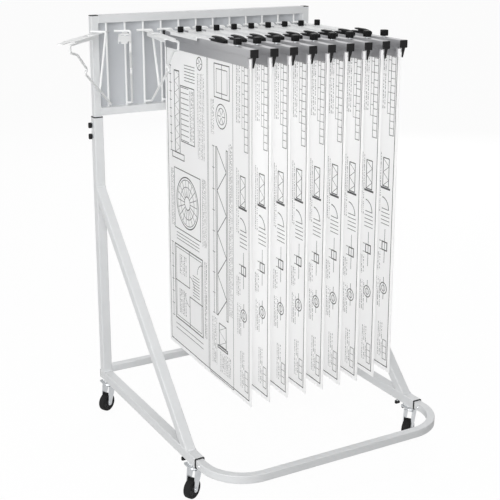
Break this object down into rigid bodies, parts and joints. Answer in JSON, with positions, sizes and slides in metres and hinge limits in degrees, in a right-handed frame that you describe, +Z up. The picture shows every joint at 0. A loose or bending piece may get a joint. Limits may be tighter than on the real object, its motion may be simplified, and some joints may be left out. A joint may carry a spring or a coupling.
{
  "type": "plan hanging rack",
  "caption": "Mobile rack on swivel casters with swinging hanger arms, clamps holding large drawings, a sliding height-adjustable back frame and a telescoping front tube.",
  "frame": {"origin": "on the floor, midway between the two posts, in the plane of the posts", "axes": "+X to the right, -Y to the front where the arms reach, +Z up"},
  "size_m": [0.8516, 0.74, 1.105],
  "materials": {
    "grey_paint": "light grey powder coat, satin",
    "white_wire": "off-white powder coat",
    "black_plastic": "moulded, matt",
    "grey_plastic": "moulded, matt",
    "clamp_aluminium": "brushed extrusion, clear anodised",
    "drawing_paper": "matt paper with line drawings",
    "zinc": "bright zinc plate",
    "caster_tread": "smooth black tread"
  },
  "bodies": {
    "frame": {"post_tubes": "grey_paint", "side_tubes": "grey_paint", "diagonal_braces": "grey_paint", "rear_cross_bar": "grey_paint", "tube_sleeves": "black_plastic", "caster_plates": "zinc", "screw_nuts": "zinc"},
    "panel_frame": {"inner_posts": "grey_paint", "post_caps": "black_plastic", "top_rail": "grey_paint", "bottom_rail": "grey_paint", "back_panel": "grey_paint", "pivot_bushes": "grey_plastic"},
    "front_tube": {"front_u_tube": "grey_paint"},
    "arm_1": {"pivot_bracket_1": "white_wire"},
    "arm_2": {"pivot_bracket_2": "white_wire"},
    "arm_3": {"pivot_bracket_3": "white_wire"},
    "arm_4": {"pivot_bracket_4": "white_wire", "hanging_clamp_1": "clamp_aluminium", "plan_sheets_1": "drawing_paper"},
    "arm_5": {"pivot_bracket_5": "white_wire", "hanging_clamp_2": "clamp_aluminium", "plan_sheets_2": "drawing_paper"},
    "arm_6": {"pivot_bracket_6": "white_wire", "hanging_clamp_3": "clamp_aluminium", "plan_sheets_3": "drawing_paper"},
    "arm_7": {"pivot_bracket_7": "white_wire", "hanging_clamp_4": "clamp_aluminium", "plan_sheets_4": "drawing_paper"},
    "arm_8": {"pivot_bracket_8": "white_wire", "hanging_clamp_5": "clamp_aluminium", "plan_sheets_5": "drawing_paper"},
    "arm_9": {"pivot_bracket_9": "white_wire", "hanging_clamp_6": "clamp_aluminium", "plan_sheets_6": "drawing_paper"},
    "arm_10": {"pivot_bracket_10": "white_wire", "hanging_clamp_7": "clamp_aluminium", "plan_sheets_7": "drawing_paper"},
    "arm_11": {"pivot_bracket_11": "white_wire", "hanging_clamp_8": "clamp_aluminium", "plan_sheets_8": "drawing_paper"},
    "arm_12": {"pivot_bracket_12": "white_wire", "hanging_clamp_9": "clamp_aluminium", "plan_sheets_9": "drawing_paper"},
    "fork_front_left": {"caster_fork_front_left": "zinc"},
    "wheel_front_left": {"caster_wheel_front_left": "caster_tread"},
    "fork_front_right": {"caster_fork_front_right": "zinc"},
    "wheel_front_right": {"caster_wheel_front_right": "caster_tread"},
    "fork_rear_left": {"caster_fork_rear_left": "zinc"},
    "wheel_rear_left": {"caster_wheel_rear_left": "caster_tread"},
    "fork_rear_right": {"caster_fork_rear_right": "zinc"},
    "wheel_rear_right": {"caster_wheel_rear_right": "caster_tread"},
    "screw_post_left_upper": {"thumb_screw_post_left_upper": "black_plastic"},
    "screw_post_left_lower": {"thumb_screw_post_left_lower": "black_plastic"},
    "screw_post_right_upper": {"thumb_screw_post_right_upper": "black_plastic"},
    "screw_post_right_lower": {"thumb_screw_post_right_lower": "black_plastic"},
    "screw_side_left_front": {"thumb_screw_side_left_front": "black_plastic"},
    "screw_side_left_rear": {"thumb_screw_side_left_rear": "black_plastic"},
    "screw_side_right_front": {"thumb_screw_side_right_front": "black_plastic"},
    "screw_side_right_rear": {"thumb_screw_side_right_rear": "black_plastic"}
  },
  "joints": [
    {"name": "panel_height", "type": "slide", "parent": "frame", "child": "panel_frame", "axis": [0, 0, 1], "range_m": [0, 0.457]},
    {"name": "front_reach", "type": "slide", "parent": "frame", "child": "front_tube", "axis": [0, -1, 0], "range_m": [0, 0.2]},
    {"name": "arm_1_swing", "type": "hinge", "parent": "panel_frame", "child": "arm_1", "pos_m": [-0.2882, 0, 1], "axis": [0, 0, -1], "range_deg": [-21.6, 3.4]},
    {"name": "arm_2_swing", "type": "hinge", "parent": "panel_frame", "child": "arm_2", "pos_m": [-0.2358, 0, 1], "axis": [0, 0, -1], "range_deg": [-16.5, 18]},
    {"name": "arm_3_swing", "type": "hinge", "parent": "panel_frame", "child": "arm_3", "pos_m": [-0.1834, 0, 1], "axis": [0, 0, -1], "range_deg": [-9.5, 16]},
    {"name": "arm_4_swing", "type": "hinge", "parent": "panel_frame", "child": "arm_4", "pos_m": [-0.131, 0, 1], "axis": [0, 0, -1], "range_deg": [-4, 10.5]},
    {"name": "arm_5_swing", "type": "hinge", "parent": "panel_frame", "child": "arm_5", "pos_m": [-0.0786, 0, 1], "axis": [0, 0, -1], "range_deg": [-4, 10.5]},
    {"name": "arm_6_swing", "type": "hinge", "parent": "panel_frame", "child": "arm_6", "pos_m": [-0.0262, 0, 1], "axis": [0, 0, -1], "range_deg": [-4, 10.5]},
    {"name": "arm_7_swing", "type": "hinge", "parent": "panel_frame", "child": "arm_7", "pos_m": [0.0262, 0, 1], "axis": [0, 0, -1], "range_deg": [-4, 10.5]},
    {"name": "arm_8_swing", "type": "hinge", "parent": "panel_frame", "child": "arm_8", "pos_m": [0.0786, 0, 1], "axis": [0, 0, -1], "range_deg": [-4, 10.5]},
    {"name": "arm_9_swing", "type": "hinge", "parent": "panel_frame", "child": "arm_9", "pos_m": [0.131, 0, 1], "axis": [0, 0, -1], "range_deg": [-4, 10.5]},
    {"name": "arm_10_swing", "type": "hinge", "parent": "panel_frame", "child": "arm_10", "pos_m": [0.1834, 0, 1], "axis": [0, 0, -1], "range_deg": [-4, 10.5]},
    {"name": "arm_11_swing", "type": "hinge", "parent": "panel_frame", "child": "arm_11", "pos_m": [0.2358, 0, 1], "axis": [0, 0, -1], "range_deg": [-4, 10.5]},
    {"name": "arm_12_swing", "type": "hinge", "parent": "panel_frame", "child": "arm_12", "pos_m": [0.2882, 0, 1], "axis": [0, 0, -1], "range_deg": [-4, 10.5]},
    {"name": "swivel_front_left", "type": "hinge", "parent": "frame", "child": "fork_front_left", "pos_m": [-0.323, -0.562, 0.08], "axis": [0, 0, 1], "continuous": true},
    {"name": "roll_front_left", "type": "hinge", "parent": "fork_front_left", "child": "wheel_front_left", "pos_m": [-0.33448, -0.5681, 0.025], "axis": [0.4695, -0.8829, 0], "continuous": true},
    {"name": "swivel_front_right", "type": "hinge", "parent": "frame", "child": "fork_front_right", "pos_m": [0.323, -0.562, 0.08], "axis": [0, 0, 1], "continuous": true},
    {"name": "roll_front_right", "type": "hinge", "parent": "fork_front_right", "child": "wheel_front_right", "pos_m": [0.31152, -0.5681, 0.025], "axis": [0.4695, -0.8829, 0], "continuous": true},
    {"name": "swivel_rear_left", "type": "hinge", "parent": "frame", "child": "fork_rear_left", "pos_m": [-0.323, -0.018, 0.08], "axis": [0, 0, 1], "continuous": true},
    {"name": "roll_rear_left", "type": "hinge", "parent": "fork_rear_left", "child": "wheel_rear_left", "pos_m": [-0.33448, -0.0241, 0.025], "axis": [0.4695, -0.8829, 0], "continuous": true},
    {"name": "swivel_rear_right", "type": "hinge", "parent": "frame", "child": "fork_rear_right", "pos_m": [0.323, -0.018, 0.08], "axis": [0, 0, 1], "continuous": true},
    {"name": "roll_rear_right", "type": "hinge", "parent": "fork_rear_right", "child": "wheel_rear_right", "pos_m": [0.31152, -0.0241, 0.025], "axis": [0.4695, -0.8829, 0], "continuous": true},
    {"name": "screw_turn_post_left_upper", "type": "hinge", "parent": "frame", "child": "screw_post_left_upper", "pos_m": [-0.338, 0, 0.816], "axis": [-1, 0, 0], "continuous": true},
    {"name": "screw_turn_post_left_lower", "type": "hinge", "parent": "frame", "child": "screw_post_left_lower", "pos_m": [-0.338, 0, 0.786], "axis": [-1, 0, 0], "continuous": true},
    {"name": "screw_turn_post_right_upper", "type": "hinge", "parent": "frame", "child": "screw_post_right_upper", "pos_m": [0.338, 0, 0.816], "axis": [1, 0, 0], "continuous": true},
    {"name": "screw_turn_post_right_lower", "type": "hinge", "parent": "frame", "child": "screw_post_right_lower", "pos_m": [0.338, 0, 0.786], "axis": [1, 0, 0], "continuous": true},
    {"name": "screw_turn_side_left_front", "type": "hinge", "parent": "frame", "child": "screw_side_left_front", "pos_m": [-0.323, -0.534, 0.08], "axis": [0, 0, -1], "continuous": true},
    {"name": "screw_turn_side_left_rear", "type": "hinge", "parent": "frame", "child": "screw_side_left_rear", "pos_m": [-0.323, -0.504, 0.08], "axis": [0, 0, -1], "continuous": true},
    {"name": "screw_turn_side_right_front", "type": "hinge", "parent": "frame", "child": "screw_side_right_front", "pos_m": [0.323, -0.534, 0.08], "axis": [0, 0, -1], "continuous": true},
    {"name": "screw_turn_side_right_rear", "type": "hinge", "parent": "frame", "child": "screw_side_right_rear", "pos_m": [0.323, -0.504, 0.08], "axis": [0, 0, -1], "continuous": true}
  ],
  "couplings": [
    {"joint": "arm_5_swing", "follows": "arm_4_swing", "ratio": 1},
    {"joint": "arm_6_swing", "follows": "arm_4_swing", "ratio": 1},
    {"joint": "arm_7_swing", "follows": "arm_4_swing", "ratio": 1},
    {"joint": "arm_8_swing", "follows": "arm_4_swing", "ratio": 1},
    {"joint": "arm_9_swing", "follows": "arm_4_swing", "ratio": 1},
    {"joint": "arm_10_swing", "follows": "arm_4_swing", "ratio": 1},
    {"joint": "arm_11_swing", "follows": "arm_4_swing", "ratio": 1},
    {"joint": "arm_12_swing", "follows": "arm_4_swing", "ratio": 1}
  ]
}
